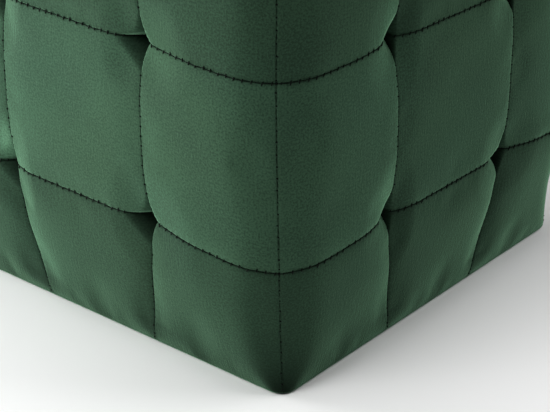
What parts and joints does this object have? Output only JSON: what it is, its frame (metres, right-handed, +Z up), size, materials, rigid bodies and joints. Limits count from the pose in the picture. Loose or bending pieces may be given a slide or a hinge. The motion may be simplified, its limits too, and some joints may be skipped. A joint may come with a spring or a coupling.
{
  "type": "cube pouf stool",
  "caption": "Padded cube stool in velvet, sewn in squares and tufted on its sides and seat, standing on a flat base.",
  "frame": {"origin": "centre of the underside, on the floor that the stool stands on", "axes": "+Z up through the middle of the seat, the front panel faces -Y and the right panel faces +X"},
  "size_m": [0.4, 0.4, 0.4],
  "materials": {
    "velvet": "matte pile with a sheen at grazing angles",
    "base_cloth": "matte",
    "thread": "matte"
  },
  "bodies": {
    "root": {"front_panel": "velvet", "right_panel": "velvet", "back_panel": "velvet", "left_panel": "velvet", "top_panel": "velvet", "base_panel": "base_cloth"}
  },
  "joints": []
}
